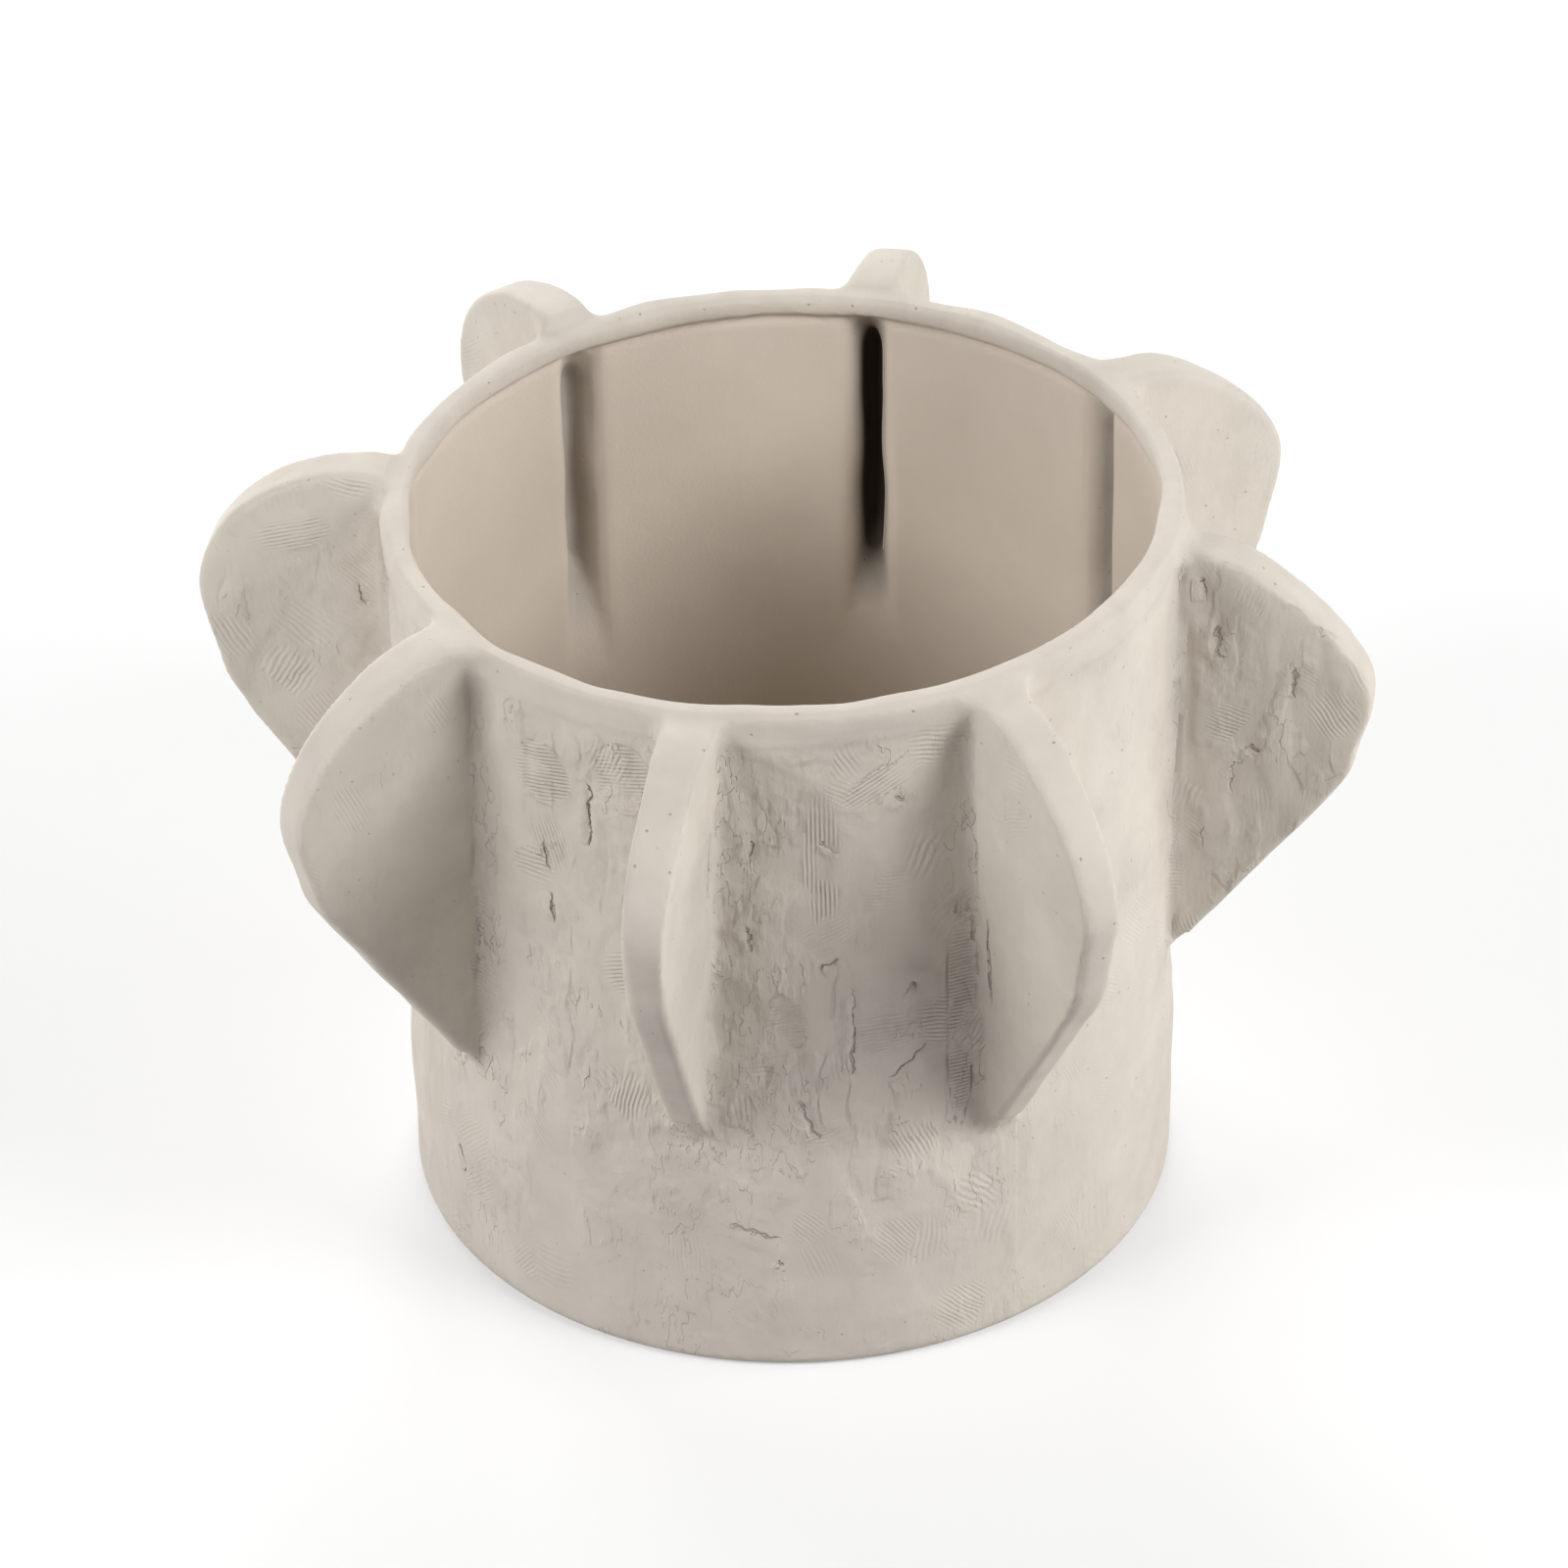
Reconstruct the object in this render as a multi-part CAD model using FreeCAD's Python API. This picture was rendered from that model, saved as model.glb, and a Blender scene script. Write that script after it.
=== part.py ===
"""Hand-built ceramic flower pot: a round body with eight hollow fins standing out of its wall."""
import FreeCAD, Part
import math
import os

Vector = FreeCAD.Vector

# Body: a floor slab, a wall tube standing on it and a rim coil on top
body_radius = 110.0
body_height = 222.5
wall_thickness = 5.5
floor_thickness = 9.0
foot_rounding = 3.0
rim_height = 7.0
rim_overhang_inside = 1.9
rim_overhang_outside = 0.5
rim_rounding = 2.6
lip_rounding = 0.5
floor_coil_size = 9.0

# Fins: clockwise from the left seen from above, front fins at small azimuths
fin_reach = 54.0
fin_foot_height = 78.5
fin_root_thickness = 15.0
fin_edge_thickness = 12.0
fin_foot_thickness = 10.5
fin_edge_rounding = 1.6
fin_azimuth_degrees = (-98.5, -54.0, -14.2, 30.5, 80.0, 121.0, 166.0, 213.5)
fin_lean_degrees = (0.0, -1.0, -1.8, 1.2, 0.0, 0.0, 0.0, 0.0)
fin_reach_shares = (1.03, 1.02, 0.98, 0.96, 1.01, 1.03, 1.0, 1.0)
fin_foot_shares = (0.97, 0.95, 1.02, 0.9, 1.0, 1.0, 1.0, 1.0)
fin_drop_shares = (-0.3, 0.0, 0.3, 0.6, 1.2, 0.0, -0.2, -0.6)
fin_belly_shares = (0.29, 0.275, 0.25, 0.3, 0.325, 0.3, 0.28, 0.27)
fin_square_shares = (1.0, 0.6, 0.6, 0.5, 0.0, 0.2, 1.0, 1.0)

# Upper edge of a fin: share of its reach, and share of the way from its top down to its belly
# for a sloping shoulder and for a square one; each fin lies between them by its square share
fin_shoulder_shares = ((0.30, 0.06, 0.03), (0.62, 0.33, 0.19), (0.90, 0.70, 0.55))
# Below the belly: share of its reach, and share of its height under the belly
fin_under_belly_shares = ((0.93, 0.13), (0.77, 0.27))

# Hollow inside each fin, open to the inside of the pot through the wall
slot_width = 5.0
slot_end_width = 1.0
slot_lip_rounding = 9.0
slot_foot_height = 88.0
hollow_depth = 40.0
hollow_top_depth = 12.0
hollow_top_drop = 6.0

# Coils pressed into the corners of a fin and the wall
fin_coil_size = 2.5
bite = 3.0

# How far cutting tools run past what they cut
overrun = 10.0

wall_inner_radius = body_radius - wall_thickness
rim_foot_height = body_height - rim_height
rim_inner_radius = wall_inner_radius - rim_overhang_inside
rim_outer_radius = body_radius + rim_overhang_outside
up = Vector(0, 0, 1)


def ring(outer_radius, inner_radius, foot, height):
    """Tube round the pot's axis."""
    outside = Part.makeCylinder(outer_radius, height, Vector(0, 0, foot))
    inside = Part.makeCylinder(inner_radius, height + 2 * overrun, Vector(0, 0, foot - overrun))
    return outside.cut(inside)


def edges_at(shape, height, radius):
    """Round edges of a turned shape at one height and radius."""
    def fits(edge):
        circle = edge.Curve
        if not isinstance(circle, Part.Circle):
            return False
        level = math.isclose(circle.Center.z, height, abs_tol=lip_rounding / 2)
        return level and math.isclose(circle.Radius, radius, abs_tol=lip_rounding / 2)
    return [edge for edge in shape.Edges if fits(edge)]


def floor_slab():
    """Round slab with a softened foot edge."""
    slab = Part.makeCylinder(body_radius, floor_thickness)
    return slab.makeFillet(foot_rounding, edges_at(slab, 0, body_radius))


def inside_corner_coil():
    """Coil in the corner of floor and wall, smoothed to a hollow curve."""
    corner = Vector(wall_inner_radius, 0, floor_thickness)
    on_floor = corner - Vector(floor_coil_size, 0, 0)
    on_wall = corner + Vector(0, 0, floor_coil_size)
    sag = floor_coil_size * (1 - math.sqrt(0.5))
    middle = corner + Vector(-sag, 0, sag)
    section = Part.Wire([
        Part.makeLine(on_floor, corner),
        Part.makeLine(corner, on_wall),
        Part.Arc(on_wall, middle, on_floor).toShape(),
    ])
    return Part.Face(section).revolve(Vector(0, 0, 0), up, 360)


def rim_coil():
    """Ring round the mouth with rounded top edges and a small lip inside."""
    rim = ring(rim_outer_radius, rim_inner_radius, rim_foot_height, rim_height)
    top_edges = edges_at(rim, body_height, rim_outer_radius) + edges_at(rim, body_height, rim_inner_radius)
    rim = rim.makeFillet(rim_rounding, top_edges)
    return rim.makeFillet(lip_rounding, edges_at(rim, rim_foot_height, rim_inner_radius))


def wall(hollows):
    """Tube between floor and rim, notched behind every fin."""
    tube = ring(body_radius, wall_inner_radius, floor_thickness, rim_foot_height - floor_thickness)
    return tube.cut(hollows)


def fin_heights(number):
    """Foot and top of one fin."""
    foot = fin_foot_height * fin_foot_shares[number]
    top = body_height - rim_height * fin_drop_shares[number]
    return foot, top


def fin_belly_height(number):
    """Height at which one fin reaches furthest out."""
    foot, top = fin_heights(number)
    return top - (top - foot) * fin_belly_shares[number]


def fin_outline(number, half_width):
    """Side view of one fin, running into the wall and thickened to both sides."""
    foot, top = fin_heights(number)
    height = top - foot
    reach = fin_reach * fin_reach_shares[number]
    belly_drop = top - fin_belly_height(number)

    def place(out, down):
        return Vector(body_radius + out, -half_width, top - down)

    curve_points = [place(0, 0)]
    square = fin_square_shares[number]
    for out, sloping, squared in fin_shoulder_shares:
        down = sloping + (squared - sloping) * square
        curve_points.append(place(out * reach, down * belly_drop))
    curve_points.append(place(reach, belly_drop))
    curve_points += [place(out * reach, belly_drop + down * height) for out, down in fin_under_belly_shares]
    tip = place(0, height)
    start = curve_points[0]
    end = curve_points[-1]
    curve = Part.BSplineCurve()
    curve.interpolate(Points=curve_points, InitialTangent=Vector(1, 0, 0), FinalTangent=tip - end)
    into_wall = Vector(-bite, 0, 0)
    outline = Part.Wire([
        curve.toShape(),
        Part.makeLine(end, tip),
        Part.makeLine(tip, tip + into_wall),
        Part.makeLine(tip + into_wall, start + into_wall),
        Part.makeLine(start + into_wall, start),
    ])
    return Part.Face(outline).extrude(Vector(0, 2 * half_width, 0))


def fin_half_thickness(number, height):
    """Half a fin's thickness at its root and at its edge: it thins downwards."""
    foot, top = fin_heights(number)
    rise = (height - foot) / (top - foot)
    root = fin_foot_thickness + (fin_root_thickness - fin_foot_thickness) * rise
    edge = fin_edge_thickness * root / fin_root_thickness
    return root / 2, edge / 2


def fin_wedge(number):
    """The fin's two cheeks: a wedge that thins outwards and downwards."""
    foot, top = fin_heights(number)

    def plan(height):
        root, edge = fin_half_thickness(number, height)
        inner = body_radius - bite
        outer = body_radius + fin_reach + overrun
        corners = [
            Vector(inner, -root, height),
            Vector(outer, -edge, height),
            Vector(outer, edge, height),
            Vector(inner, root, height),
        ]
        return Part.makePolygon(corners + corners[:1])

    return Part.makeLoft([plan(foot - overrun), plan(top + overrun)], True, True)


def runs_along_edge(edge):
    """True for a fin's long outer edges, not for those across it or at its root."""
    sides = [vertex.Point.y > 0 for vertex in edge.Vertexes]
    return all(sides) == any(sides) and edge.CenterOfMass.x > body_radius


def fin_blank(number):
    """One fin before it is fitted, with softened outer edges."""
    blank = fin_outline(number, fin_root_thickness).common(fin_wedge(number))
    return blank.makeFillet(fin_edge_rounding, [edge for edge in blank.Edges if runs_along_edge(edge)])


def fin_hollow(number):
    """Space inside a fin and the notch in the wall that opens it to the inside, with rounded lips."""
    roof = min(rim_foot_height, fin_heights(number)[1] - rim_height)
    half = slot_width / 2
    half_end = slot_end_width / 2
    half_mouth = half + slot_lip_rounding
    mouth = math.sqrt(wall_inner_radius ** 2 - half_mouth ** 2) - lip_rounding / 2
    deepest = body_radius + hollow_depth
    sag = slot_lip_rounding * (1 - math.sqrt(0.5))

    def lip(side):
        wide = Vector(mouth, side * half_mouth, 0)
        middle = Vector(mouth + sag, side * (half + sag), 0)
        narrow = Vector(mouth + slot_lip_rounding, side * half, 0)
        end = Vector(deepest, side * half_end, 0)
        before = wide - Vector(overrun, 0, 0)
        return before, wide, Part.Arc(wide, middle, narrow).toShape(), narrow, end

    left_before, left_wide, left_arc, left_narrow, left_end = lip(-1)
    right_before, right_wide, right_arc, right_narrow, right_end = lip(1)
    plan = Part.Wire([
        Part.makeLine(left_before, left_wide),
        left_arc,
        Part.makeLine(left_narrow, left_end),
        Part.makeLine(left_end, right_end),
        Part.makeLine(right_end, right_narrow),
        right_arc,
        Part.makeLine(right_wide, right_before),
        Part.makeLine(right_before, left_before),
    ])
    slot = Part.Face(plan).extrude(Vector(0, 0, body_height))

    low = Vector(mouth, -half_mouth, slot_foot_height)
    deep = Vector(deepest, -half_mouth, fin_belly_height(number))
    high = Vector(body_radius + hollow_top_depth, -half_mouth, roof - hollow_top_drop)
    high_mouth = Vector(mouth, -half_mouth, roof)
    high_inside = Vector(mouth - overrun, -half_mouth, roof)
    low_inside = Vector(mouth - overrun, -half_mouth, slot_foot_height)
    back = Part.BSplineCurve()
    back.interpolate(Points=[low, deep, high], InitialTangent=up, FinalTangent=high_mouth - high)
    outline = Part.Wire([
        back.toShape(),
        Part.makeLine(high, high_mouth),
        Part.makeLine(high_mouth, high_inside),
        Part.makeLine(high_inside, low_inside),
        Part.makeLine(low_inside, low),
    ])
    return Part.Face(outline).extrude(Vector(0, 2 * half_mouth, 0)).common(slot)


def corner_coil_blank(number, side):
    """Coil in one corner of a fin and the wall, before it is fitted: hollow-faced and upright."""
    foot, top = fin_heights(number)
    sag = fin_coil_size * (1 - math.sqrt(0.5))

    def section(height):
        root = fin_half_thickness(number, height)[0]
        far = root + fin_coil_size
        wall_face = math.sqrt(body_radius ** 2 - far ** 2)
        on_fin = Vector(body_radius + fin_coil_size, side * root, height)
        middle = Vector(body_radius + sag, side * (root + sag), height)
        on_wall = Vector(wall_face, side * far, height)
        inside = Vector(wall_face - bite, side * far, height)
        corner = Vector(wall_face - bite, side * (root - bite), height)
        outside = Vector(body_radius + fin_coil_size, side * (root - bite), height)
        return Part.Wire([
            Part.Arc(on_fin, middle, on_wall).toShape(),
            Part.makeLine(on_wall, inside),
            Part.makeLine(inside, corner),
            Part.makeLine(corner, outside),
            Part.makeLine(outside, on_fin),
        ])

    bar = Part.makeLoft([section(foot - bite), section(top + bite)], True, True)
    return bar.common(fin_outline(number, fin_root_thickness + fin_coil_size))


def set_in_place(shape, number):
    """Turn a shape made on the +X side to one fin's azimuth, after its lean."""
    foot, top = fin_heights(number)
    placed = shape.copy()
    placed.rotate(Vector(0, 0, (foot + top) / 2), Vector(1, 0, 0), fin_lean_degrees[number])
    placed.rotate(Vector(0, 0, 0), up, fin_azimuth_degrees[number] - 90)
    return placed


def largest(shape):
    """The main solid of a cut shape, without the slivers behind the wall."""
    return max(shape.Solids, key=lambda solid: solid.Volume)


def pot():
    """All pieces by node name."""
    rim = rim_coil()
    core = Part.makeCylinder(body_radius, body_height + overrun)
    beside_rim = Part.makeCylinder(rim_outer_radius + overrun, body_height, Vector(0, 0, rim_foot_height))
    fin_numbers = range(len(fin_azimuth_degrees))
    hollows = [set_in_place(fin_hollow(number), number) for number in fin_numbers]
    pieces = {
        "floor_slab": floor_slab(),
        "wall": wall(hollows),
        "inside_corner_coil": inside_corner_coil(),
        "rim_coil": rim,
    }
    for number in fin_numbers:
        name = f"fin_{number + 1}"
        blank = set_in_place(fin_blank(number), number)
        pieces[name] = largest(blank.cut([core, rim, hollows[number]]))
        coils = []
        for side in (-1, 1):
            coil = set_in_place(corner_coil_blank(number, side), number)
            coils.append(largest(coil.cut(core).cut(beside_rim).cut(blank)))
        pieces[name + "_corner_coils"] = Part.makeCompound(coils)
    return pieces


os.makedirs("parts", exist_ok=True)
for node, shape in pot().items():
    shape.exportStep(f"parts/{node}.step")
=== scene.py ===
"""Hand-built ceramic flower pot dressed around its CAD frame: pale fired clay with finger and tool marks."""
import math

import bpy
import numpy as np
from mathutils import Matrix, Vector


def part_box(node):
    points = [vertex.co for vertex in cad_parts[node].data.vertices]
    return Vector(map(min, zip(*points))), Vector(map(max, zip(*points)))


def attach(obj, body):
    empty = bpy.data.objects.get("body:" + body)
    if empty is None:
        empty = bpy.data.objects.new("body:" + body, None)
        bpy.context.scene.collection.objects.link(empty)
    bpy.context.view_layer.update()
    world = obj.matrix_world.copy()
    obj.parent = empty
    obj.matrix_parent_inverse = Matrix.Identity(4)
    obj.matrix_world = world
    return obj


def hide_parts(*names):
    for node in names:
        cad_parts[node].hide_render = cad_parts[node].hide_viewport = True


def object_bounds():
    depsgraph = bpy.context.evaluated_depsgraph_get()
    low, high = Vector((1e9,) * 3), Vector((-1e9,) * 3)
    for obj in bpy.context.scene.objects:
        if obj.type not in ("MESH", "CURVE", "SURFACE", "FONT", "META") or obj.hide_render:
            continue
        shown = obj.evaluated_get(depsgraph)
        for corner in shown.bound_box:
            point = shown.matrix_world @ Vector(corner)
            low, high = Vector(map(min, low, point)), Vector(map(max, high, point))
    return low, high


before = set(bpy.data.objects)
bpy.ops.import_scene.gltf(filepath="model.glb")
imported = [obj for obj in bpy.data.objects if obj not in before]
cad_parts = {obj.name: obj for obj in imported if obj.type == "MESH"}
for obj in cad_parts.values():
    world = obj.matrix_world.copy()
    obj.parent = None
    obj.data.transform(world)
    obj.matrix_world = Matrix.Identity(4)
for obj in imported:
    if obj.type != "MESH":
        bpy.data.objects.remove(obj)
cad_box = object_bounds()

import openvdb
from mathutils import Matrix, Vector, noise

# Clay skin: floor, wall, rim, fins and coils are scored, slipped and pressed together while soft, and
# fired as one body. So one skin is drawn over all the solids, with the joints closed and the edges
# softened as by a wet sponge; each piece takes its own part of that skin when the pot is fired.
VOXEL = 0.0011
BAND_VOXELS = 7
JOINT_CLOSING = 0.0013
RIM_FLOW, FLOW_FOOT, FLOW_TOP = 0.0055, 0.203, 0.214
JOINT_FOLLOWS = 24
pot_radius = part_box("wall")[1].x
rim_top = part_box("rim_coil")[1].z
grid_margin = (BAND_VOXELS + 3) * VOXEL
grid_low = np.array(cad_box[0]) - grid_margin
grid_size = np.ceil((np.array(cad_box[1]) + grid_margin - grid_low) / VOXEL).astype(int)
grid_steps = openvdb.createLinearTransform(voxelSize=VOXEL)
piece_names = sorted(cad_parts)


def grid_points(name):
    """Corner points and triangles of a CAD node, measured from the grid's low corner."""
    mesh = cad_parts[name].data
    mesh.calc_loop_triangles()
    corners = np.empty(len(mesh.vertices) * 3, np.float32)
    mesh.vertices.foreach_get("co", corners)
    triangles = np.empty(len(mesh.loop_triangles) * 3, np.int32)
    mesh.loop_triangles.foreach_get("vertices", triangles)
    return corners.reshape(-1, 3) - grid_low.astype(np.float32), triangles.reshape(-1, 3).astype(np.uint32)


def depth_in(name):
    """Distance to a CAD node's surface, negative inside it, on the block of the grid around it."""
    corners, triangles = grid_points(name)
    level = openvdb.FloatGrid.createLevelSetFromPolygons(
        corners, triangles=triangles, transform=grid_steps, halfWidth=BAND_VOXELS
    )
    low = np.maximum((corners.min(0) / VOXEL).astype(int) - BAND_VOXELS, 0)
    high = np.minimum((corners.max(0) / VOXEL).astype(int) + BAND_VOXELS + 2, grid_size)
    block = np.empty(high - low, np.float32)
    level.copyToArray(block, ijk=tuple(int(i) for i in low))
    return block, tuple(slice(a, b) for a, b in zip(low, high))


def rising(values, low, high):
    """0 up to low, 1 from high on, and a straight rise between."""
    return np.clip((values - low) / (high - low), 0, 1)


def closed(union, distance):
    """Depth field after the clay is swollen by a distance and shrunk back, which fills its corners."""
    corners, faces = union.convertToQuads(isovalue=distance)
    swollen = openvdb.FloatGrid.createLevelSetFromPolygons(
        corners, quads=faces, transform=grid_steps, halfWidth=BAND_VOXELS
    )
    field = np.empty(grid_size, np.float32)
    swollen.copyToArray(field, ijk=(0, 0, 0))
    return field + distance


def clay_field():
    """Depth field of the whole pot with its joints closed, and the number of each point's own piece."""
    nearest = np.full(grid_size, BAND_VOXELS * VOXEL, np.float32)
    owner = np.zeros(grid_size, np.uint8)
    for number, name in enumerate(piece_names, start=1):
        depth, block = depth_in(name)
        closer = depth < nearest[block]
        nearest[block][closer] = depth[closer]
        owner[block][closer] = number
    union = openvdb.FloatGrid(BAND_VOXELS * VOXEL)
    union.copyFromArray(nearest)
    union.transform = grid_steps
    east, north, up = (low + VOXEL * np.arange(steps) for low, steps in zip(grid_low, grid_size))
    outside = rising(np.hypot(east[:, None], north[None, :]), pot_radius - 0.003, pot_radius)
    flows = outside[:, :, None] * rising(up, FLOW_FOOT, FLOW_TOP)
    field = closed(union, JOINT_CLOSING)
    field += flows.astype(np.float32) * (closed(union, RIM_FLOW) - field)
    for axis in range(3):
        field = (np.roll(field, 1, axis) + 2 * field + np.roll(field, -1, axis)) / 4
    return field, owner


def net_over(field, owner):
    """Net of the skin and of the joints: a point in each grid cell that a border crosses, and a quad for
    each grid edge with different owners at its ends. Returns the points, which of them are skin, the quads
    and the owners on both sides of each quad."""
    label = np.where(field < 0, owner, 0)
    cells = [n - 1 for n in label.shape]
    corners = [(i, j, k) for i in (0, 1) for j in (0, 1) for k in (0, 1)]

    def corner_view(values, corner):
        return values[tuple(slice(c, c + n) for c, n in zip(corner, cells))]

    first = corner_view(label, corners[0])
    mixed = np.zeros(cells, bool)
    for corner in corners[1:]:
        mixed |= corner_view(label, corner) != first
    places = np.argwhere(mixed)
    numbers = np.full(cells, -1, np.int32)
    numbers[mixed] = np.arange(len(places))

    depths = np.stack([corner_view(field, corner)[mixed] for corner in corners], 1)
    labels = np.stack([corner_view(label, corner)[mixed] for corner in corners], 1)
    on_skin = (labels == 0).any(1)
    total = np.zeros((len(places), 3))
    crossings = np.zeros(len(places))
    for a, start in enumerate(corners):
        for b, end in enumerate(corners):
            if sum(abs(s - e) for s, e in zip(start, end)) != 1 or a > b:
                continue
            at_skin = (labels[:, a] == 0) != (labels[:, b] == 0)
            at_joint = ~on_skin & (labels[:, a] != labels[:, b])
            rise = depths[:, a] - depths[:, b]
            share = np.where(at_skin, depths[:, a] / np.where(rise == 0, 1, rise), 0.5)
            used = (at_skin | at_joint)[:, None]
            crossing = np.array(start) + np.clip(share, 0, 1)[:, None] * (np.array(end) - np.array(start))
            total += np.where(used, crossing, 0)
            crossings += used[:, 0]
    places = grid_low + (places + total / crossings[:, None]) * VOXEL

    faces, sides = [], []
    for axis in range(3):
        left, right = (axis + 1) % 3, (axis + 2) % 3
        below = np.take(label, range(label.shape[axis] - 1), axis)
        above = np.take(label, range(1, label.shape[axis]), axis)
        edge = np.argwhere(below != above)
        ring = []
        for step_left, step_right in ((1, 1), (0, 1), (0, 0), (1, 0)):
            cell = edge.copy()
            cell[:, left] -= step_left
            cell[:, right] -= step_right
            ring.append(numbers[tuple(cell.T)])
        faces.append(np.stack(ring, 1))
        sides.append(np.stack([below[tuple(edge.T)], above[tuple(edge.T)]], 1))
    return places, on_skin, np.concatenate(faces), np.concatenate(sides)


def skin_normals():
    """Unit normals of the skin at its points, out of the clay."""
    skin = (owners == 0).any(1)
    faces = np.where((owners[skin, 0] == 0)[:, None], quads[skin][:, ::-1], quads[skin])
    across = points[faces[:, 2]] - points[faces[:, 0]], points[faces[:, 3]] - points[faces[:, 1]]
    flat = np.cross(*across)
    total = np.zeros_like(points)
    for corner in range(4):
        for axis in range(3):
            total[:, axis] += np.bincount(faces[:, corner], flat[:, axis], len(points))
    length = np.linalg.norm(total, axis=1, keepdims=True)
    return total / np.where(length == 0, 1, length)


def spread(values):
    """Values at the net's points, each replaced by the mean of its neighbours."""
    around = values[quads].mean(1)
    total = np.zeros_like(values)
    for corner in range(4):
        for column in range(values.shape[1]):
            total[:, column] += np.bincount(quads[:, corner], around[:, column], len(values))
    return total / np.bincount(quads.ravel(), minlength=len(values))[:, None]


def lumps(size, start=0.0):
    """Smooth uneven height from about -1 to 1 at every point, with lumps of that size, or sizes by axis."""
    return np.array([noise.noise(place) for place in (points / np.array(size) + start).tolist()])


points, is_skin, quads, owners = net_over(*clay_field())
normals = skin_normals()
radius = np.hypot(points[:, 0], points[:, 1])
level = points[:, 2].copy()
azimuth = np.degrees(np.arctan2(points[:, 0], -points[:, 1]))
radial = points[:, :2] / np.maximum(radius, VOXEL)[:, None]
facing_out = (normals[:, :2] * radial).sum(1)
facing_round = normals[:, 1] * radial[:, 0] - normals[:, 0] * radial[:, 1]
height = np.zeros(len(points))
handwork = np.zeros(len(points))
crack_side, crack_share = np.zeros(len(points)), np.zeros(len(points))
comb_phase, comb_share = np.zeros(len(points)), np.zeros(len(points))

# Wall: a rolled slab of clay bent into a tube. Outside, the panels between the fins are dragged and
# scraped upright with fingers and a rib, which tears small cracks; the foot is rubbed smoother.
PANEL_FOOT, PANEL_FOOT_FADE, PANEL_TOP = 0.062, 0.014, 0.213
PANEL_TOP_OVER, PANEL_TOP_FADE = 0.002, 0.006
WALL_FACING, FACE_INSIDE, FACE_OUTSIDE = (0.4, 0.7), 0.003, 0.005
SMOOTH_PANEL = (34, 78)
SMOOTH_SHARE, FOOT_SHARE = 0.25, 0.45
SMEAR_SIZE, SMEAR_HEIGHT = (0.008, 0.008, 0.022), 0.0003
FLAP_SIZE, FLAP_HEIGHT = (0.014, 0.014, 0.026), 0.0003
PANEL_SINK, SINK_STEP = 0.0010, 0.002
EDGE_WAVE, EDGE_HEIGHT = 0.012, 0.001
# Cracks on the front panels: azimuth in degrees and level of both ends, width and depth
WALL_CRACKS = (
    (-29.0, 0.192, -29.4, 0.171, 0.0010, 0.0013),
    (-37.0, 0.168, -36.5, 0.158, 0.0010, 0.0005),
    (-36.5, 0.151, -36.0, 0.141, 0.0010, 0.0006),
    (-59.0, 0.041, -58.5, 0.031, 0.0010, 0.0010),
    (-5.0, 0.181, -5.5, 0.173, 0.0011, 0.0012),
    (-6.5, 0.153, -5.3, 0.145, 0.0013, 0.0012),
    (4.0, 0.180, 7.0, 0.176, 0.0010, 0.0006),
    (15.0, 0.192, 16.2, 0.191, 0.0012, 0.0014),
    (4.0, 0.138, 7.0, 0.141, 0.0012, 0.0010),
    (9.0, 0.131, 8.5, 0.101, 0.0010, 0.0010),
    (0.3, 0.093, 3.7, 0.080, 0.0013, 0.0010),
    (17.3, 0.129, 18.0, 0.128, 0.0014, 0.0012),
    (13.5, 0.098, 20.0, 0.108, 0.0012, 0.0004),
    (-2.3, 0.039, -1.8, 0.038, 0.0013, 0.0010),
    (-10.0, 0.050, -2.0, 0.046, 0.0016, 0.0005),
)
# Combed and fingered patches there: azimuth and level of both ends of the middle line, and half width
WALL_COMBS = (
    (4.5, 0.197, 4.5, 0.149, 0.006),
    (7.0, 0.191, 20.0, 0.206, 0.005),
    (-42.0, 0.188, -32.0, 0.192, 0.011),
    (-28.0, 0.195, -19.0, 0.198, 0.012),
    (22.5, 0.115, 27.0, 0.115, 0.040),
    (-3.0, 0.120, 2.0, 0.123, 0.010),
)
# Panels with scattered cracks: azimuth of both sides, and share of the strokes
TORN_PANELS = (
    (-140, -104, 1),
    (-93, -59, 1),
    (36, 74, 0.3),
    (86, 116, 1),
    (126, 161, 1),
    (171, 180, 1),
    (-180, -152, 1),
)
CRACK_SPAN, CRACK_DENT, CRACK_FULL = 6, 0.6, 0.0008
COMB_PITCH = 0.0012
PANEL_STROKES, STROKE_CLEAR = 5, 0.01
# Scattered cracks: shortest and longest, how far they slant, and least and greatest width and depth
TEAR_LENGTHS, TEAR_SLANT = (0.004, 0.018), 0.15
TEAR_LEAST, TEAR_GREATEST = (0.0010, 0.0004), (0.0014, 0.0011)
wall_face = rising(facing_out, *WALL_FACING)
wall_face *= (radius > pot_radius - FACE_INSIDE) * (radius < pot_radius + FACE_OUTSIDE)
wall_face *= rising(-level, -PANEL_TOP - PANEL_TOP_OVER, -PANEL_TOP + PANEL_TOP_FADE)
on_panel = rising(level, PANEL_FOOT - PANEL_FOOT_FADE, PANEL_FOOT + PANEL_FOOT_FADE)
smooth_panel = (azimuth > SMOOTH_PANEL[0]) & (azimuth < SMOOTH_PANEL[1])
wall_work = wall_face * np.where(smooth_panel, SMOOTH_SHARE, FOOT_SHARE + (1 - FOOT_SHARE) * on_panel)
handwork += wall_work
smears = SMEAR_HEIGHT * lumps(SMEAR_SIZE) + FLAP_HEIGHT * np.tanh(lumps(FLAP_SIZE, 7.3) / 0.1)
height += wall_work * smears
panel_edge = PANEL_TOP + EDGE_HEIGHT * lumps(EDGE_WAVE, 8.2)
height -= PANEL_SINK * wall_face * on_panel * rising(panel_edge - level, 0, SINK_STEP)
strokes = np.random.default_rng(11)


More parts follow.
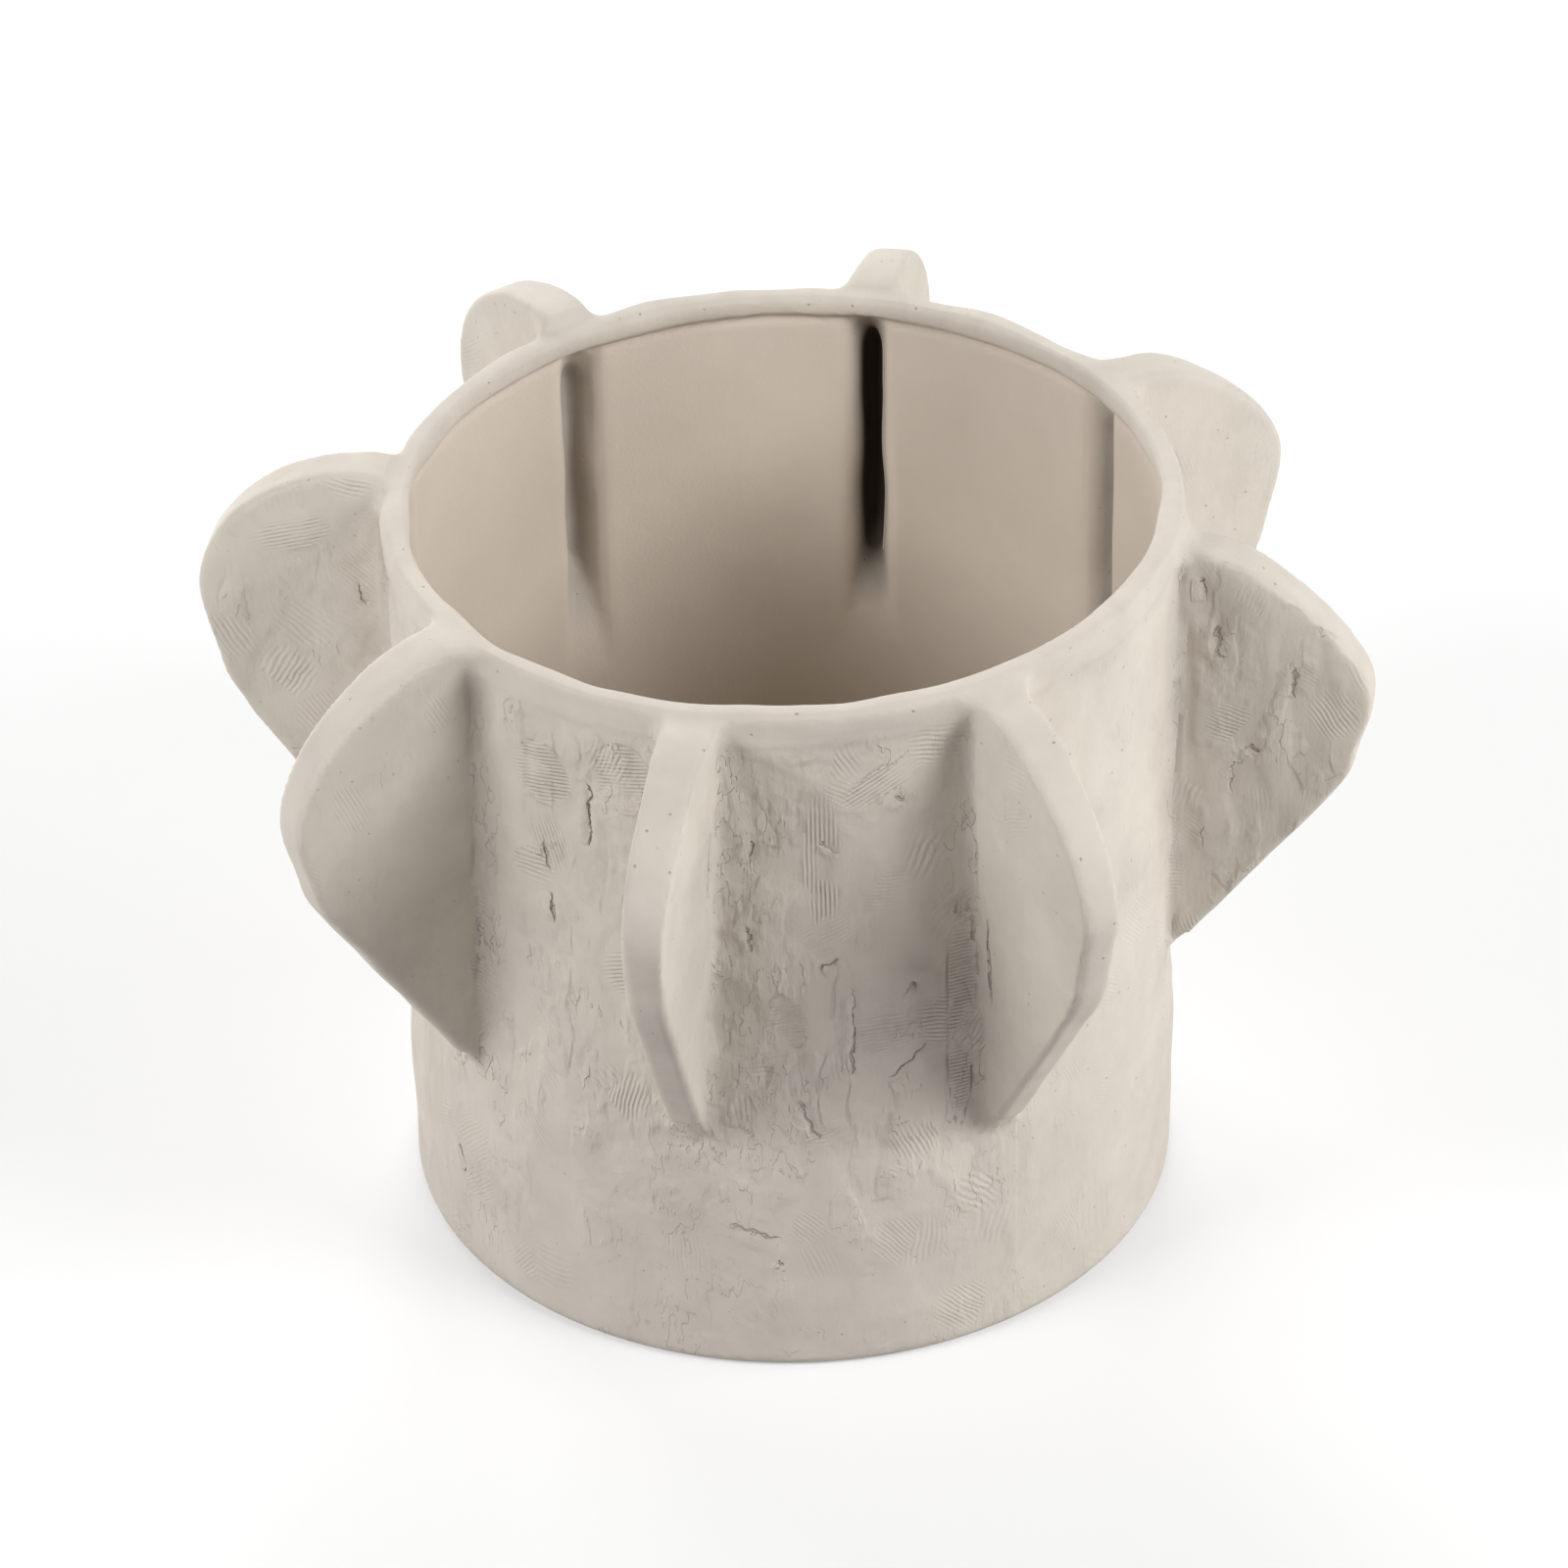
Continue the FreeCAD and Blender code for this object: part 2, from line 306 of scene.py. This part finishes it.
def tear(across, face, start, end, width, depth):
    """Press one crack into a face between two places, with a ragged line and a burr along one side."""
    run = np.subtract(end, start)
    length = np.hypot(*run)
    beside = np.abs(across - start[0]) < length + CRACK_SPAN * width
    beyond = np.abs(level - start[1]) < length + CRACK_SPAN * width
    near = np.nonzero(face & beside & beyond)[0]
    away = np.stack([across[near] - start[0], level[near] - start[1]], 1)
    along = np.clip(away @ run / length ** 2, 0, 1)
    side = np.sign(away[:, 0] * run[1] - away[:, 1] * run[0])
    gap = side * np.hypot(*(away - along[:, None] * run).T)
    gap += 0.3 * width * np.sin(along * length / (2.9 * width) + 900 * start[0])
    fading = np.sqrt(np.clip(1.02 - (2 * along - 1) ** 2, 0, 1))
    groove = fading * np.exp(-((gap / width) ** 2))
    burr = fading * np.exp(-((gap / width - 2.2) ** 2))
    height[near] += CRACK_DENT * depth * (0.4 * burr - groove)
    share = fading * np.clip(1 - (gap / width / CRACK_SPAN) ** 2, 0, 1) * min(1, depth / CRACK_FULL)
    marked = share > crack_share[near]
    crack_share[near[marked]] = share[marked]
    crack_side[near[marked]] = gap[marked] / width


def random_tears(count, across, face, low, high, strength):
    """Scatter upright cracks of different lengths over a face between two places."""
    for _ in range(count):
        start = strokes.uniform(low, high)
        length = strokes.uniform(*TEAR_LENGTHS)
        slant = strokes.normal(0, TEAR_SLANT)
        end = start - length * np.array([math.sin(slant), math.cos(slant)])
        width, depth = strokes.uniform(TEAR_LEAST, TEAR_GREATEST)
        tear(across, face, start, end, width, strength * depth)


def comb(across, face, start, end, half_width):
    """Mark a patch of fine tool lines that run from one place to another."""
    run = np.subtract(end, start)
    length = np.hypot(*run)
    away = np.stack([across - start[0], level - start[1]], 1) - run / 2
    along = away @ run / (length * length / 2)
    beside = (away[:, 0] * run[1] - away[:, 1] * run[0]) / (length * half_width)
    share = face * np.clip(1 - along ** 2 - beside ** 2, 0, 1)
    marked = share > comb_share
    comb_share[marked] = share[marked]
    comb_phase[marked] = math.tau * half_width / COMB_PITCH * beside[marked]


around_wall = pot_radius * np.radians(azimuth)
on_wall = wall_face > 0.5
for first_azimuth, first_level, last_azimuth, last_level, *size in WALL_CRACKS + WALL_COMBS:
    first = pot_radius * math.radians(first_azimuth), first_level
    last = pot_radius * math.radians(last_azimuth), last_level
    press = tear if len(size) == 2 else comb
    press(around_wall, on_wall, first, last, *size)
for low_azimuth, high_azimuth, share in TORN_PANELS:
    low = np.array([pot_radius * math.radians(low_azimuth), PANEL_FOOT])
    high = np.array([pot_radius * math.radians(high_azimuth), PANEL_TOP - STROKE_CLEAR])
    random_tears(round(PANEL_STROKES * share), around_wall, on_wall, low, high, share)

# Fins: thick slabs cut to a rounded outline, folded hollow and pressed on at the root. The cheeks keep
# finger drags and a few tears; the outer bands are wiped smooth and only show the pores of the clay.
CHEEK_SHARES = (0.6, 0.4, 0.25, 0.3, 1.0, 0.2, 0.3, 0.25)
# Scattered cracks on cheeks: their number, and distance out of the wall and level that they lie between
CHEEK_STROKES, CHEEK_LOW, CHEEK_HIGH = 2, (0.006, 0.110), (0.036, 0.200)
# Painted shade in the hollows, standing in for the shadow deep inside them: how dark each one is painted,
# half its width and its mouth's, and where its painted dark starts, fills and ends
HOLLOW_SHADE_SHARES = (1, 1, 1, 1, 1, 0.3, 1, 0.3)
HOLLOW_DEGREES, LIP_DEGREES = 2.0, 3.5
HOLLOW_MOUTH, HOLLOW_DARK, HOLLOW_ROOF = 0.004, 0.001, 0.007
FIN_DEGREES, FIN_ROOT, FIN_CLEAR, CHEEK_FACING = 12, 0.0025, 0.006, (0.6, 0.9)
ROUGH_DEGREES, ROUGH_PATCH = 5.0, 0.02
BAND_WAVE, BAND_HEIGHT = 0.011, 0.0004
# Cracks on front cheeks: azimuth of the fin, which cheek, radius and level of both ends, width and depth
CHEEK_CRACKS = (
    (80, -1, 0.121, 0.192, 0.1225, 0.181, 0.0014, 0.0013),
    (80, -1, 0.1315, 0.153, 0.1335, 0.151, 0.0016, 0.0012),
    (80, -1, 0.117, 0.207, 0.118, 0.199, 0.0013, 0.0010),
    (80, -1, 0.127, 0.149, 0.126, 0.135, 0.0010, 0.0005),
    (-14.2, 1, 0.116, 0.190, 0.116, 0.165, 0.0010, 0.0004),
    (30.5, -1, 0.114, 0.150, 0.115, 0.120, 0.0010, 0.0006),
)
# Combed patches on cheeks: azimuth of the fin, which cheek, radius and level of both ends, and half width
CHEEK_COMBS = (
    (-54.0, 1, 0.153, 0.193, 0.145, 0.174, 0.006),
    (-54.0, 1, 0.123, 0.210, 0.116, 0.196, 0.005),
    (-98.5, 1, 0.150, 0.200, 0.125, 0.207, 0.006),
)
on_fin = rising(radius, pot_radius + FIN_ROOT, pot_radius + FIN_CLEAR)
sideways = rising(np.abs(facing_round), *CHEEK_FACING)
height += BAND_HEIGHT * on_fin * (1 - sideways) * (lumps(BAND_WAVE, 5.7) - 0.2)
for turn, side, first_radius, first_level, last_radius, last_level, *size in CHEEK_CRACKS + CHEEK_COMBS:
    beside = (np.abs(azimuth - turn) < FIN_DEGREES) & (facing_round * side > 0.5) & (on_fin > 0.5)
    press = tear if len(size) == 2 else comb
    press(radius, beside, (first_radius, first_level), (last_radius, last_level), *size)
# Painted shade: the inside of each fin's hollow is painted near black, lighter for fins 6 and 8, in place of
# the shadow deep in it.
hollow_shade = np.zeros(len(points))
rough = np.zeros(len(points))
for number, (share, hollow_shade_share) in enumerate(zip(CHEEK_SHARES, HOLLOW_SHADE_SHARES), start=1):
    low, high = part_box(f"fin_{number}")
    middle = (low + high) / 2
    fin_azimuth = math.degrees(math.atan2(middle.x, -middle.y))
    turned = (azimuth - fin_azimuth + 180) % 360 - 180
    faces_in = (facing_out < -0.3) | (facing_round * np.sign(turned) < -0.5)
    slot_degrees = np.where(radius > pot_radius - HOLLOW_DARK, HOLLOW_DEGREES, LIP_DEGREES)
    at_slot = (np.abs(turned) < slot_degrees) & (radius > pot_radius - HOLLOW_MOUTH)
    hollow_shade[at_slot & (level < rim_top - HOLLOW_ROOF) & faces_in] = hollow_shade_share
    rough = np.maximum(rough, wall_face * rising(-np.abs(turned), -2 * ROUGH_DEGREES, -ROUGH_DEGREES))
    cheek = share * on_fin * sideways * (np.abs(turned) < FIN_DEGREES) * (hollow_shade == 0)
    handwork += cheek
    height += cheek * smears
    for side in (-1, 1):
        beside = (cheek > 0) & (facing_round * side > 0.5)
        low, high = (np.array([pot_radius, 0]) + corner for corner in (CHEEK_LOW, CHEEK_HIGH))
        random_tears(round(CHEEK_STROKES * share), radius, beside, low, high, share)
rough *= rising(lumps(ROUGH_PATCH, 4.4), -0.3, 0.3)

# Corner coils: thin rolls of clay thumbed into the corners of fin and wall, so each corner runs up
# as an uneven little ridge with dabs and gaps along it.
COIL_SIZE, COIL_HEIGHT = (0.005, 0.005, 0.009), 0.0007
COIL_FADE, COIL_SHARE = 0.002, 0.7
coil_numbers = [number for number, name in enumerate(piece_names, 1) if name.endswith("corner_coils")]
on_coil = np.zeros(len(points))
on_coil[quads[np.isin(owners, coil_numbers).any(1) & (owners == 0).any(1)]] = 1
on_coil = spread(spread(on_coil[:, None]))[:, 0] * rising(radius, pot_radius - COIL_FADE, pot_radius)
height += COIL_HEIGHT * on_coil * (lumps(COIL_SIZE, 2.9) - 0.4)
handwork = np.maximum(handwork, COIL_SHARE * on_coil)

# Rim coil, floor slab and inside corner coil: the mouth is rolled over and wiped with a wet sponge, and
# the inside is smoothed all over and has a thin satin glaze.
RIM_WAVE, RIM_HEIGHT, RIM_FADE = 0.016, 0.0007, 0.004
WALL_THICKNESS, GLAZE_EDGE, GLAZE_FADE = 0.0055, 0.0045, 0.002
LIP_LINE, LIP_LINE_WIDTH = 0.0009, 0.0013
on_rim = rising(level, PANEL_TOP, PANEL_TOP + RIM_FADE)
on_rim *= rising(-radius, -pot_radius - RIM_FADE, -pot_radius - 0.001)
height += RIM_HEIGHT * on_rim * (lumps(RIM_WAVE, 1.9) - 0.5)
glaze = rising(pot_radius - radius, GLAZE_EDGE - GLAZE_FADE, GLAZE_EDGE) * rising(level, 0.004, 0.006)
glaze *= rising(-level, -PANEL_TOP - 0.003, -PANEL_TOP)
handwork *= (1 - glaze) * (hollow_shade == 0)
under_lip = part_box("rim_coil")[0].z - LIP_LINE_WIDTH
inner_face = (facing_out < -0.3) & (np.abs(pot_radius - WALL_THICKNESS - radius) < GLAZE_FADE)
height -= LIP_LINE * inner_face * np.exp(-(((level - under_lip) / LIP_LINE_WIDTH) ** 2))
# The painted shade of each hollow grows from its mouth inward to its full depth.
hollow_shade *= rising(radius, pot_radius - HOLLOW_MOUTH, pot_radius + HOLLOW_DARK)

# Firing: the worked pot dries, shrinks and warps a little, so its skin is softly uneven and the rim is
# highest at the back right. Fired, every piece is the same bare, warm grey clay; its colours below add
# painted shade, darker cracks and pores and near-black hollows, and a glaze tone partly lightened as painted
# light.
LUMP_SIZE, LUMP_HEIGHT = 0.022, 0.0009
DEEPEST_DENT, HIGHEST_LUMP = -0.003, 0.0015
FOOT_STILL, FOOT_FREE = 0.003, 0.012
CALM_SHARE = 0.35
RIM_LEAN = (0.014, 0.0154)
# The glaze tone is partly the glaze's own warmer colour and partly lightened as painted light for the
# brighter inside.
CLAY_LIGHT, CLAY_DARK, GLAZE_AND_LIGHT_TONE = (0.68, 0.62, 0.55, 1), (0.61, 0.555, 0.49, 1), (0.71, 0.63, 0.54, 1)
# The crack, pore and hollow tones are painted shade: darker colour where shade falls in grooves, pits and
# hollows.
CRACK_PAINTED_SHADE, PORE_PAINTED_SHADE, HOLLOW_PAINTED_SHADE = (0.30, 0.26, 0.22, 1), (0.38, 0.34, 0.30, 1), (0.05, 0.035, 0.025, 1)
CRACK_SHADE_SHARE, PORE_SHADE_SHARE, GLAZE_SHARE = 0.35, 0.8, 0.7
BARE_ROUGHNESS, GLAZE_ROUGHNESS = 0.85, 0.5
# Relief of each kind of mark, in shares of the depth
RELIEF_DEPTH = 0.0009
DRAG_RELIEF, PRINT_RELIEF, COMB_RELIEF, FLAP_RELIEF, FLAKE_RELIEF = 0.42, 0.13, 0.18, 0.4, 0.6
GRAIN_RELIEF, PORE_RELIEF, BURR_RELIEF, CRACK_RELIEF = 0.10, 0.25, 0.5, 1.2


def sunk_by(east, north):
    """How far the leaning rim lies below its highest point."""
    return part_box("rim_coil")[1].x * math.hypot(*RIM_LEAN) - RIM_LEAN[0] * east - RIM_LEAN[1] * north


def settle():
    """Sink or raise the skin by its height, let the hidden joints follow, and lean the rim."""
    calm = 1 - (1 - CALM_SHARE) * np.maximum(glaze, on_fin)
    unevenness = LUMP_HEIGHT * calm * (lumps(LUMP_SIZE, 0.4) - 0.2)
    rise = np.clip(height + unevenness, DEEPEST_DENT, HIGHEST_LUMP) * rising(level, FOOT_STILL, FOOT_FREE)
    shift = normals * rise[:, None]
    followed = np.where(is_skin[:, None], shift, 0)
    for _ in range(JOINT_FOLLOWS):
        followed = np.where(is_skin[:, None], shift, spread(followed))
    points[:] += followed
    points[:, 2] -= sunk_by(points[:, 0], points[:, 1]) * points[:, 2] / rim_top
    np.clip(points, np.array(cad_box[0]), np.array(cad_box[1]), out=points)


def add_node(tree, kind, inputs, **settings):
    """Shader node with its settings, and inputs set to plain values or joined to other nodes' outputs."""
    node = tree.nodes.new("ShaderNode" + kind)
    for setting, value in settings.items():
        setattr(node, setting, value)
    for socket, value in inputs.items():
        if isinstance(value, bpy.types.NodeSocket):
            tree.links.new(value, node.inputs[socket])
        else:
            node.inputs[socket].default_value = value
    return node


def fired_clay():
    """Bare clay, mottled and pored, with smears, flakes, combed patches and cracks where it was worked,
    painted shade in its cracks, pores and hollows, and a glaze tone partly lightened as painted light.
    """
    material = bpy.data.materials.new("fired_clay")
    material.use_nodes = True
    tree = material.node_tree
    shader = tree.nodes["Principled BSDF"]
    place = add_node(tree, "TexCoord", {}).outputs["Object"]
    worked = add_node(tree, "Attribute", {}, attribute_name="worked")
    split = add_node(tree, "SeparateColor", {"Color": worked.outputs["Color"]})
    # The green channel, hidden, is the painted shade of the hollows.
    hand, hidden, glazed = split.outputs["Red"], split.outputs["Green"], split.outputs["Blue"]
    rubbed = worked.outputs["Alpha"]
    marks = add_node(tree, "Attribute", {}, attribute_name="tool_marks")
    split = add_node(tree, "SeparateColor", {"Color": marks.outputs["Color"]})
    crack_gap, crack, comb_turn = split.outputs["Red"], split.outputs["Green"], split.outputs["Blue"]
    combed = marks.outputs["Alpha"]

    def combined(operation, first, second=0.0):
        """Two values worked together by one sum."""
        return add_node(tree, "Math", {0: first, 1: second}, operation=operation).outputs[0]

    def ramp(value, low, high, start=0.0, end=1.0):
        """Start up to the low value, end from the high one on, and a straight line between."""
        sockets = {"Value": value, "From Min": low, "From Max": high, "To Min": start, "To Max": end}
        return add_node(tree, "MapRange", sockets).outputs["Result"]

    def mixed(share, first, second):
        """First colour with a share of the second."""
        return add_node(tree, "Mix", {0: share, 6: first, 7: second}, data_type="RGBA").outputs[2]

    def clouds(where, scale, detail, roughness=0.5):
        """Soft uneven values, with so many clouds to the metre."""
        sockets = {"Vector": where, "Scale": scale, "Detail": detail, "Roughness": roughness}
        return add_node(tree, "TexNoise", sockets)

    upright = add_node(tree, "Mapping", {"Vector": place, "Scale": (1, 1, 0.16)}).outputs["Vector"]
    slanted = {"Vector": place, "Rotation": (0.25, 0.15, 0), "Scale": (1, 1, 0.4)}
    slanted = add_node(tree, "Mapping", slanted).outputs["Vector"]
    crossed = {"Vector": place, "Rotation": (0.8, 0.7, 0.3), "Scale": (1, 1, 0.35)}
    crossed = add_node(tree, "Mapping", crossed).outputs["Vector"]
    patches = clouds(place, 60, 2).outputs["Fac"]
    mottle = clouds(place, 45, 3, 0.65).outputs["Fac"]
    drags = clouds(upright, 420, 4, 0.6).outputs["Fac"]
    drags = combined("MULTIPLY", drags, ramp(patches, 0.40, 0.60, 0.3, 1.0))
    grain = clouds(place, 900, 2).outputs["Fac"]
    flaps = ramp(clouds(slanted, 62, 4, 0.45).outputs["Fac"], 0.48, 0.52)
    flaps = combined("MULTIPLY", flaps, ramp(patches, 0.44, 0.58))
    wipes = ramp(clouds(crossed, 50, 4, 0.45).outputs["Fac"], 0.485, 0.515)
    flaps = combined("ADD", flaps, combined("MULTIPLY", wipes, ramp(mottle, 0.46, 0.58)))
    flakes = ramp(clouds(slanted, 190, 3, 0.6).outputs["Fac"], 0.50, 0.515)
    flakes = combined("MULTIPLY", flakes, combined("MAXIMUM", ramp(patches, 0.58, 0.64, 0.0, 0.7), rubbed))

    ragged = clouds(place, 260, 3, 0.6).outputs["Fac"]
    gap = combined("ADD", crack_gap, ramp(ragged, 0.2, 0.8, -1.3, 1.3))
    shown = ramp(crack, 0.2, 0.6)
    narrowed = combined("ADD", combined("ABSOLUTE", gap), ramp(patches, 0.35, 0.65, 0.25, -0.15))
    cracks = combined("MULTIPLY", ramp(narrowed, 0.38, 0.08), shown)
    burr = combined("MULTIPLY", ramp(gap, 0.2, 0.6), ramp(gap, 4.0, 0.8))
    burr = combined("MULTIPLY", burr, shown)

    bend = clouds(place, 120, 1).outputs["Fac"]
    combs = combined("SINE", combined("ADD", comb_turn, combined("MULTIPLY", bend, 2.5)))
    kept = combined("MULTIPLY", ramp(combed, 0.0, 0.5), ramp(mottle, 0.36, 0.50))
    combs = combined("MULTIPLY", combs, kept)
    cells = add_node(tree, "TexVoronoi", {"Vector": place, "Scale": 62})
    aim = {0: cells.outputs["Color"], 1: (0.5, 0.5, 0.35)}
    aim = add_node(tree, "VectorMath", aim, operation="SUBTRACT")
    aim = add_node(tree, "VectorMath", {0: aim.outputs[0]}, operation="NORMALIZE")
    way = {0: place, 1: aim.outputs[0]}
    way = add_node(tree, "VectorMath", way, operation="DOT_PRODUCT").outputs["Value"]
    turns = combined("ADD", combined("MULTIPLY", way, math.tau / COMB_PITCH), combined("MULTIPLY", bend, 9))
    lines = combined("SINE", turns)
    chosen = add_node(tree, "SeparateColor", {"Color": cells.outputs["Color"]}).outputs["Green"]
    within = combined("MULTIPLY", ramp(chosen, 0.5, 0.6), ramp(cells.outputs["Distance"], 0.62, 0.35))
    prints = combined("MULTIPLY", lines, within)

    dots = add_node(tree, "TexVoronoi", {"Vector": place, "Scale": 330})
    picked = add_node(tree, "SeparateColor", {"Color": dots.outputs["Color"]}).outputs["Red"]
    pores = combined("MULTIPLY", ramp(dots.outputs["Distance"], 0.16, 0.07), ramp(picked, 0.78, 0.80))
    pores = combined("MULTIPLY", pores, combined("SUBTRACT", 1.0, combined("MAXIMUM", glazed, hand)))

    worn = combined("MULTIPLY", drags, DRAG_RELIEF)
    strewn = (prints, PRINT_RELIEF), (combs, COMB_RELIEF), (flaps, FLAP_RELIEF), (flakes, FLAKE_RELIEF)
    for mark, share in strewn:
        worn = combined("ADD", worn, combined("MULTIPLY", mark, share))
    relief = combined("ADD", combined("MULTIPLY", worn, hand), combined("MULTIPLY", grain, GRAIN_RELIEF))
    relief = combined("SUBTRACT", relief, combined("MULTIPLY", pores, PORE_RELIEF))
    relief = combined("ADD", relief, combined("MULTIPLY", burr, BURR_RELIEF))
    relief = combined("SUBTRACT", relief, combined("MULTIPLY", cracks, CRACK_RELIEF))
    bump = add_node(tree, "Bump", {"Height": relief, "Strength": 1.0, "Distance": RELIEF_DEPTH})
    tree.links.new(bump.outputs["Normal"], shader.inputs["Normal"])

    clay = mixed(ramp(mottle, 0.35, 0.7), CLAY_LIGHT, CLAY_DARK)
    # Painted shade: pores painted darker, for the shade in the tiny pits.
    clay = mixed(combined("MULTIPLY", pores, PORE_SHADE_SHARE), clay, PORE_PAINTED_SHADE)
    # Painted shade: crack cores painted darker, for the shade in the narrow grooves.
    clay = mixed(combined("MULTIPLY", cracks, CRACK_SHADE_SHARE), clay, CRACK_PAINTED_SHADE)
    # Glaze tone: partly the glaze's own colour, partly painted light.
    clay = mixed(combined("MULTIPLY", glazed, GLAZE_SHARE), clay, GLAZE_AND_LIGHT_TONE)
    # Painted shade: the inside of the hollows painted near black.
    clay = mixed(hidden, clay, HOLLOW_PAINTED_SHADE)
    tree.links.new(clay, shader.inputs["Base Color"])
    tree.links.new(ramp(glazed, 0.0, 1.0, BARE_ROUGHNESS, GLAZE_ROUGHNESS), shader.inputs["Roughness"])
    return material


def fire(name, material):
    """One finished piece: its part of the skin, closed by its joint faces, dressed over its CAD node."""
    number = piece_names.index(name) + 1
    forward, backward = owners[:, 0] == number, owners[:, 1] == number
    faces = np.concatenate([quads[forward], quads[backward][:, ::-1]])
    at_skin = np.concatenate([owners[forward, 1] == 0, owners[backward, 0] == 0])
    used, corners = np.unique(faces, return_inverse=True)
    corners = corners.reshape(-1, 4)
    mesh = bpy.data.meshes.new(name)
    mesh.from_pydata(points[used].tolist(), [], corners.tolist())
    mesh.polygons.foreach_set("use_smooth", np.ones(len(corners), bool))
    flat = np.cross(points[faces[:, 2]] - points[faces[:, 0]], points[faces[:, 3]] - points[faces[:, 1]])
    flat /= np.maximum(np.linalg.norm(flat, axis=1, keepdims=True), 1e-12)
    turned_in = (flat[:, None, :] * normals[faces]).sum(2, keepdims=True) < 0
    edge_normals = np.where(turned_in, -normals[faces], normals[faces])
    joint_normals = np.where(is_skin[faces][:, :, None], edge_normals, flat[:, None, :])
    loop_normals = np.where(at_skin[:, None, None], normals[faces], joint_normals)
    mesh.normals_split_custom_set(loop_normals.reshape(-1, 3).tolist())
    # The green channel carries the painted shade of the hollows.
    worked = np.stack([handwork, hollow_shade, glaze, rough], 1)[used]
    mesh.attributes.new("worked", "FLOAT_COLOR", "POINT").data.foreach_set("color", worked.ravel())
    tool_marks = np.stack([crack_side, crack_share, comb_phase, comb_share], 1)[used]
    mesh.attributes.new("tool_marks", "FLOAT_COLOR", "POINT").data.foreach_set("color", tool_marks.ravel())
    mesh.materials.append(material)
    piece = bpy.data.objects.new("clay_" + name, mesh)
    bpy.context.scene.collection.objects.link(piece)
    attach(piece, "root")
    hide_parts(name)


settle()
normals = skin_normals()
clay_material = fired_clay()
for name in piece_names:
    fire(name, clay_material)

# Studio: a plain white floor and softboxes round the pot. The floor is lit like the pot, and the camera
# sees it lighter, so that only the soft shadow stands out of the white.
FLOOR_SIZE = 12.0
FLOOR_GREY, FLOOR_LIFT = (0.55, 0.55, 0.55, 1), 0.39
LIGHT_DISTANCE, LIGHT_SIZE = 2.0, 0.8
# Softboxes: name, azimuth and elevation in degrees, and power in watts
SOFTBOXES = (
    ("front_right", 60, 35, 27),
    ("front_left", -60, 35, 24),
    ("right", 90, 12, 12),
    ("left", -90, 12, 5),
    ("back", 180, 35, 20),
    ("back_left", 210, 12, 20),
)


def white_floor():
    """Large plain floor that the pot stands on."""
    half = FLOOR_SIZE / 2
    mesh = bpy.data.meshes.new("floor")
    corners = [(-half, -half, 0), (half, -half, 0), (half, half, 0), (-half, half, 0)]
    mesh.from_pydata(corners, [], [(0, 1, 2, 3)])
    material = bpy.data.materials.new("floor_white")
    material.use_nodes = True
    tree = material.node_tree
    shader = tree.nodes["Principled BSDF"]
    shader.inputs["Base Color"].default_value = FLOOR_GREY
    shader.inputs["Roughness"].default_value = 1.0
    shader.inputs["Specular IOR Level"].default_value = 0.0
    shader.inputs["Emission Color"].default_value = (1, 1, 1, 1)
    rays = add_node(tree, "LightPath", {}).outputs
    seen = {0: rays["Is Camera Ray"], 1: rays["Is Glossy Ray"]}
    seen = add_node(tree, "Math", seen, operation="MAXIMUM").outputs[0]
    lift = add_node(tree, "Math", {0: seen, 1: FLOOR_LIFT}, operation="MULTIPLY").outputs[0]
    tree.links.new(lift, shader.inputs["Emission Strength"])
    mesh.materials.append(material)
    floor = bpy.data.objects.new("floor", mesh)
    bpy.context.scene.collection.objects.link(floor)
    return floor


def softbox(name, azimuth_degrees, elevation_degrees, power):
    """Square area light that looks at the middle of the pot from one direction."""
    data = bpy.data.lights.new(name, "AREA")
    data.size = LIGHT_SIZE
    data.energy = power
    light = bpy.data.objects.new(name, data)
    turn, rise = math.radians(azimuth_degrees), math.radians(elevation_degrees)
    away = Vector((math.sin(turn) * math.cos(rise), -math.cos(turn) * math.cos(rise), math.sin(rise)))
    light.location = LIGHT_DISTANCE * away + Vector((0, 0, rim_top / 2))
    light.rotation_euler = away.to_track_quat("Z", "Y").to_euler()
    bpy.context.scene.collection.objects.link(light)


white_floor()
for softbox_row in SOFTBOXES:
    softbox(*softbox_row)
world = bpy.data.worlds.new("studio")
world.use_nodes = True
world.node_tree.nodes["Background"].inputs["Color"].default_value = (1, 1, 1, 1)
world.node_tree.nodes["Background"].inputs["Strength"].default_value = 0.0
bpy.context.scene.world = world
bpy.context.scene.view_settings.view_transform = "Standard"

# Camera: a long lens that looks down into the pot, fitted to the ellipses of its rim and foot, at the
# photograph's size and with its slight roll.
IMAGE_PIXELS = 1600
FOCAL_PIXELS = 6500
VIEW_ELEVATION, VIEW_ROLL = math.radians(34.19), math.radians(1.02)
VIEW_DISTANCE = 1.801
LOOK_AT = Vector((-0.0011, 0, 0.1223))


def fitted_camera():
    """Camera at the photograph's viewing angle."""
    data = bpy.data.cameras.new("camera")
    data.sensor_width = 36
    data.lens = data.sensor_width * FOCAL_PIXELS / IMAGE_PIXELS
    camera = bpy.data.objects.new("camera", data)
    back = Vector((0, -math.cos(VIEW_ELEVATION), math.sin(VIEW_ELEVATION)))
    turn = (-back).to_track_quat("-Z", "Y").to_matrix().to_4x4() @ Matrix.Rotation(-VIEW_ROLL, 4, "Z")
    camera.matrix_world = Matrix.Translation(LOOK_AT + back * VIEW_DISTANCE) @ turn
    bpy.context.scene.collection.objects.link(camera)
    return camera


bpy.context.scene.camera = fitted_camera()
